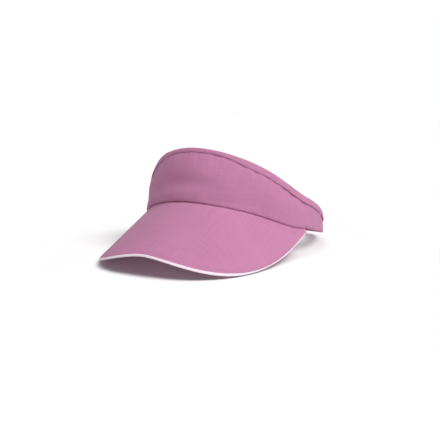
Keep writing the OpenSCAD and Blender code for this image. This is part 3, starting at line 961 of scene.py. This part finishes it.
def weave_group():
    """A plain weave: warp and weft threads that pass over each other in turn, with the hollows between them
    given out for painted shade.
    """
    if "Visor weave" in bpy.data.node_groups:
        return bpy.data.node_groups["Visor weave"]
    tree = bpy.data.node_groups.new("Visor weave", "ShaderNodeTree")
    source, result = group_sockets(
        tree, (("Cloth", "NodeSocketVector", (0, 0, 0)), ("Threads", "NodeSocketFloat", 2200.0)),
        (("Height", "NodeSocketFloat"), ("Hollow shade", "NodeSocketFloat")))
    parts = tree.nodes.new("ShaderNodeSeparateXYZ")
    tree.links.new(source.outputs["Cloth"], parts.inputs[0])
    waves = []
    for axis in range(2):
        turns = maths(tree, "MULTIPLY", parts.outputs[axis], source.outputs["Threads"])
        waves.append(maths(tree, "SINE", maths(tree, "MULTIPLY", turns, math.pi)))
    warp, weft = (maths(tree, "ABSOLUTE", wave) for wave in waves)
    over = maths(tree, "GREATER_THAN", maths(tree, "MULTIPLY", waves[0], waves[1]), 0.0)
    under = maths(tree, "SUBTRACT", 1.0, over)
    height = maths(tree, "ADD", maths(tree, "MULTIPLY", warp, over), maths(tree, "MULTIPLY", weft, under))
    slub = stretched_noise(tree, source.outputs["Cloth"], 900, 60)
    rough = maths(tree, "MULTIPLY", height, maths(tree, "ADD", slub, 0.5))
    tree.links.new(rough, result.inputs["Height"])
    # The hollows between the threads, which the colour darkens as painted shade.
    tree.links.new(maths(tree, "SUBTRACT", 1.0, height), result.inputs["Hollow shade"])
    return tree


def dye_and_shade_group():
    """Uneven dye, thicker threads, painted shade in the weave's hollows and rubbed edges, as a colour and a
    roughness.
    """
    if "Visor dye and shade" in bpy.data.node_groups:
        return bpy.data.node_groups["Visor dye and shade"]
    tree = bpy.data.node_groups.new("Visor dye and shade", "ShaderNodeTree")
    source, result = group_sockets(
        tree, (("Cloth", "NodeSocketVector", (0, 0, 0)), ("Dye", "NodeSocketColor", (1, 1, 1, 1)),
               ("Hollow shade", "NodeSocketFloat", 0.0), ("Wear", "NodeSocketFloat", 0.0),
               ("Depth", "NodeSocketFloat", 0.12)),
        (("Colour", "NodeSocketColor"), ("Roughness", "NodeSocketFloat")))
    cloth = source.outputs["Cloth"]
    warp = stretched_noise(tree, cloth, 700, 45, 3)
    weft = stretched_noise(tree, cloth, 45, 700, 3)
    blotch = stretched_noise(tree, cloth, 30, 30, 2)
    streaks = maths(tree, "ADD", maths(tree, "MULTIPLY", maths(tree, "ADD", warp, weft), 0.16),
                    maths(tree, "MULTIPLY", blotch, 0.14))
    value = maths(tree, "ADD", streaks, 0.77)
    # Painted shade: the colour is darker in the weave's hollows, by the Depth share.
    value = maths(tree, "SUBTRACT", value,
                  maths(tree, "MULTIPLY", source.outputs["Hollow shade"], source.outputs["Depth"]))
    rub = maths(tree, "MULTIPLY", source.outputs["Wear"], stretched_noise(tree, cloth, 400, 400, 3))
    value = maths(tree, "ADD", value, maths(tree, "MULTIPLY", rub, 0.14))
    tint = tree.nodes.new("ShaderNodeVectorMath")
    tint.operation = "SCALE"
    tree.links.new(source.outputs["Dye"], tint.inputs[0])
    tree.links.new(value, tint.inputs["Scale"])
    tree.links.new(tint.outputs[0], result.inputs["Colour"])
    roughness = maths(tree, "ADD", 0.78, maths(tree, "MULTIPLY", streaks, 0.4))
    tree.links.new(roughness, result.inputs["Roughness"])
    return tree


def fabric(name, dye, threads=2200, sheen=0.08, bump=0.35, depth=0.12, fuzz=0.0, coordinates="UV"):
    """A woven cloth that reads the piece's own cloth map, or its Object coordinates. depth sets the painted
    shade in the weave's hollows.
    """
    if name in bpy.data.materials:
        return bpy.data.materials[name]
    material = bpy.data.materials.new(name)
    material.use_nodes = True
    tree = material.node_tree
    shader = tree.nodes["Principled BSDF"]
    shader.inputs["Sheen Weight"].default_value = sheen
    shader.inputs["Sheen Roughness"].default_value = 0.5
    shader.inputs["Specular IOR Level"].default_value = 0.08
    if coordinates == "UV":
        where = tree.nodes.new("ShaderNodeUVMap")
        where.uv_map = "cloth"
        cloth = where.outputs["UV"]
    else:
        cloth = tree.nodes.new("ShaderNodeTexCoord").outputs["Object"]
    weave = tree.nodes.new("ShaderNodeGroup")
    weave.node_tree = weave_group()
    weave.inputs["Threads"].default_value = threads
    shaded_dye = tree.nodes.new("ShaderNodeGroup")
    shaded_dye.node_tree = dye_and_shade_group()
    shaded_dye.inputs["Dye"].default_value = (*dye, 1)
    # Painted shade: how much darker the weave's hollows are painted.
    shaded_dye.inputs["Depth"].default_value = depth
    wear = tree.nodes.new("ShaderNodeAttribute")
    wear.attribute_name = "wear"
    rise = tree.nodes.new("ShaderNodeBump")
    rise.inputs["Strength"].default_value = bump
    rise.inputs["Distance"].default_value = 0.15 * MM
    height = weave.outputs["Height"]
    if fuzz:
        nap = stretched_noise(tree, cloth, 2600, 2600, 4)
        height = maths(tree, "ADD", height, maths(tree, "MULTIPLY", nap, fuzz))
    for a, b in ((cloth, weave.inputs["Cloth"]), (cloth, shaded_dye.inputs["Cloth"]),
                 (weave.outputs["Hollow shade"], shaded_dye.inputs["Hollow shade"]), (wear.outputs["Fac"], shaded_dye.inputs["Wear"]),
                 (shaded_dye.outputs["Colour"], shader.inputs["Base Color"]),
                 (shaded_dye.outputs["Roughness"], shader.inputs["Roughness"]),
                 (height, rise.inputs["Height"]), (rise.outputs["Normal"], shader.inputs["Normal"])):
        tree.links.new(a, b)
    return material


def cotton(name, dye):
    """Fine plain-woven cotton."""
    return fabric(name, dye)


def brushed(name, dye):
    """Soft brushed cotton with a nap."""
    return fabric(name, dye, threads=1500, sheen=0.4, bump=0.5, fuzz=1.6)


def pile(name, dye):
    """The loop tape's fuzzy pile."""
    return fabric(name, dye, threads=1100, sheen=0.5, bump=0.7, depth=0.3, fuzz=2.5)


def satin(name, dye):
    """The label's smooth woven satin."""
    return fabric(name, dye, threads=3200, sheen=0.1, bump=0.15, depth=0.05)


def thread_material(name, dye):
    """Twisted sewing thread."""
    return fabric(name, dye, threads=2600, sheen=0.3, bump=0.3, coordinates="Object")


def hook_plastic(name, dye):
    """The moulded hook tape."""
    material = fabric(name, dye, threads=900, sheen=0.0, bump=0.2, depth=0.08)
    material.node_tree.nodes["Principled BSDF"].inputs["Specular IOR Level"].default_value = 0.5
    return material


def make_inner_parts(scene):
    """Finishes the sealed pieces that carry over from the frame."""
    del scene
    finishes = {
        "peak_board": fabric("peak board", (0.13, 0.13, 0.14), threads=300, sheen=0.0, bump=0.1, depth=0.03,
                             fuzz=0.4, coordinates="Object"),
        "peak_turning": fabric("turning cotton", (0.52, 0.215, 0.36), coordinates="Object"),
    }
    for node, material in finishes.items():
        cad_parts[node].data.materials.clear()
        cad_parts[node].data.materials.append(material)


# ---- Stage ----
def stage_floor():
    """A plain pale floor."""
    bm = bmesh.new()
    bmesh.ops.create_grid(bm, x_segments=4, y_segments=4, size=3)
    mesh = bpy.data.meshes.new("floor")
    bm.to_mesh(mesh)
    bm.free()
    material = bpy.data.materials.new("studio floor")
    material.use_nodes = True
    shader = material.node_tree.nodes["Principled BSDF"]
    shader.inputs["Base Color"].default_value = (0.93, 0.93, 0.93, 1)
    shader.inputs["Roughness"].default_value = 0.9
    shader.inputs["Specular IOR Level"].default_value = 0.1
    mesh.materials.append(material)
    floor = bpy.data.objects.new("floor", mesh)
    bpy.context.scene.collection.objects.link(floor)


def soft_light(scene, name, azimuth, elevation, width, strength):
    """An even, soft-edged light from one direction. The azimuth goes round from the front towards +X."""
    data = bpy.data.lights.new(name, "SUN")
    data.angle, data.energy = math.radians(width), strength
    light = bpy.data.objects.new(name, data)
    scene.collection.objects.link(light)
    a, e = math.radians(azimuth), math.radians(elevation)
    back = Vector((math.sin(a) * math.cos(e), -math.cos(a) * math.cos(e), math.sin(e)))
    light.rotation_euler = back.to_track_quat("Z", "Y").to_euler()


def studio_world(scene, low, high):
    """A plain surround: white near the horizon and dimmer overhead."""
    world = bpy.data.worlds.new("studio")
    world.use_nodes = True
    tree = world.node_tree
    parts = tree.nodes.new("ShaderNodeSeparateXYZ")
    fade = tree.nodes.new("ShaderNodeMapRange")
    fade.inputs["From Min"].default_value, fade.inputs["From Max"].default_value = 0.24, 0.42
    fade.inputs["To Min"].default_value, fade.inputs["To Max"].default_value = low, high
    tree.links.new(tree.nodes.new("ShaderNodeTexCoord").outputs["Generated"], parts.inputs[0])
    tree.links.new(parts.outputs["Z"], fade.inputs["Value"])
    tree.links.new(fade.outputs[0], tree.nodes["Background"].inputs["Strength"])
    tree.nodes["Background"].inputs["Color"].default_value = (1, 1, 1, 1)
    scene.world = world


def make_stage(scene):
    studio = scene.visor_studio
    stage_floor()
    studio_world(scene, 1.0, 0.03)
    soft_light(scene, "key", 80, 50, 32, 2.45)
    soft_light(scene, "top", 30, 80, 50, 1.15)

    a, e = studio.azimuth, studio.elevation
    right = Vector((math.cos(a), math.sin(a), 0))
    view = Vector((-math.sin(a) * math.cos(e), math.cos(a) * math.cos(e), -math.sin(e)))
    up = right.cross(view)
    data = bpy.data.cameras.new("camera")
    data.sensor_width = 36
    data.lens = data.sensor_width * studio.distance / studio.image_scale
    camera = bpy.data.objects.new("camera", data)
    scene.collection.objects.link(camera)
    camera.location = right * studio.aim_across + up * studio.aim_up - view * studio.distance
    camera.rotation_euler = view.to_track_quat("-Z", "Y").to_euler()
    scene.camera = camera
    scene.view_settings.view_transform = "Standard"


# ---- Operators, panel and registration ----
class VISOR_OT_stage(bpy.types.Operator):
    """Sets up the floor, the light and the camera"""
    bl_idname = "visor.stage"
    bl_label = "Stage"
    bl_options = {"REGISTER", "UNDO"}

    def execute(self, context):
        make_stage(context.scene)
        return {"FINISHED"}


class VISOR_OT_band(bpy.types.Operator):
    """Builds the outer panel, the buckram and the lining of the band"""
    bl_idname = "visor.band"
    bl_label = "Band"
    bl_options = {"REGISTER", "UNDO"}

    def execute(self, context):
        make_band(context.scene)
        return {"FINISHED"}


class VISOR_OT_binding(bpy.types.Operator):
    """Builds the folded binding over the top edge"""
    bl_idname = "visor.binding"
    bl_label = "Top binding"
    bl_options = {"REGISTER", "UNDO"}

    def execute(self, context):
        make_binding(context.scene)
        return {"FINISHED"}


class VISOR_OT_sweatband(bpy.types.Operator):
    """Builds the padded sweatband"""
    bl_idname = "visor.sweatband"
    bl_label = "Sweatband"
    bl_options = {"REGISTER", "UNDO"}

    def execute(self, context):
        make_sweatband(context.scene)
        return {"FINISHED"}


class VISOR_OT_peak(bpy.types.Operator):
    """Builds the peak's upper and under covers"""
    bl_idname = "visor.peak"
    bl_label = "Peak covers"
    bl_options = {"REGISTER", "UNDO"}

    def execute(self, context):
        make_peak(context.scene)
        return {"FINISHED"}


class VISOR_OT_piping(bpy.types.Operator):
    """Builds the contrast piping round the peak"""
    bl_idname = "visor.piping"
    bl_label = "Piping"
    bl_options = {"REGISTER", "UNDO"}

    def execute(self, context):
        make_piping(context.scene)
        return {"FINISHED"}


class VISOR_OT_straps(bpy.types.Operator):
    """Builds the two straps at the back"""
    bl_idname = "visor.straps"
    bl_label = "Straps"
    bl_options = {"REGISTER", "UNDO"}

    def execute(self, context):
        make_straps(context.scene)
        return {"FINISHED"}


class VISOR_OT_tapes(bpy.types.Operator):
    """Builds the hook tape and the loop tape"""
    bl_idname = "visor.tapes"
    bl_label = "Hook and loop tapes"
    bl_options = {"REGISTER", "UNDO"}

    def execute(self, context):
        make_tapes(context.scene)
        return {"FINISHED"}


class VISOR_OT_stitching(bpy.types.Operator):
    """Sews the rows of stitches and the bar tacks"""
    bl_idname = "visor.stitching"
    bl_label = "Stitching"
    bl_options = {"REGISTER", "UNDO"}

    def execute(self, context):
        make_stitching(context.scene)
        return {"FINISHED"}


class VISOR_OT_label(bpy.types.Operator):
    """Builds the blank care label"""
    bl_idname = "visor.label"
    bl_label = "Care label"
    bl_options = {"REGISTER", "UNDO"}

    def execute(self, context):
        make_label(context.scene)
        return {"FINISHED"}


class VISOR_OT_inner_parts(bpy.types.Operator):
    """Finishes the peak's board and turning"""
    bl_idname = "visor.inner_parts"
    bl_label = "Inner parts"
    bl_options = {"REGISTER", "UNDO"}

    def execute(self, context):
        make_inner_parts(context.scene)
        return {"FINISHED"}


OPERATORS = (VISOR_OT_stage, VISOR_OT_band, VISOR_OT_binding, VISOR_OT_sweatband, VISOR_OT_peak,
             VISOR_OT_piping, VISOR_OT_straps, VISOR_OT_tapes, VISOR_OT_stitching, VISOR_OT_label,
             VISOR_OT_inner_parts)


class VISOR_PT_sidebar(bpy.types.Panel):
    """Lists the visor's pieces and sizes"""
    bl_idname = "VISOR_PT_sidebar"
    bl_label = "Sun visor"
    bl_space_type = "VIEW_3D"
    bl_region_type = "UI"
    bl_category = "Visor"

    def draw(self, context):
        for operator in OPERATORS:
            self.layout.operator(operator.bl_idname)
        for name, kind in GROUPS.items():
            box = self.layout.box()
            box.label(text=kind.__name__)
            for size in kind.__annotations__:
                box.prop(getattr(context.scene, name), size)


CLASSES = (*GROUPS.values(), *OPERATORS, VISOR_PT_sidebar)


def register():
    for kind in CLASSES:
        bpy.utils.register_class(kind)
    for name, kind in GROUPS.items():
        setattr(bpy.types.Scene, name, PointerProperty(type=kind))


def unregister():
    for name in GROUPS:
        delattr(bpy.types.Scene, name)
    for kind in reversed(CLASSES):
        bpy.utils.unregister_class(kind)


def main():
    register()
    for operator in OPERATORS:
        getattr(bpy.ops.visor, operator.bl_idname.split(".")[1])()


if __name__ == "__main__":
    main()
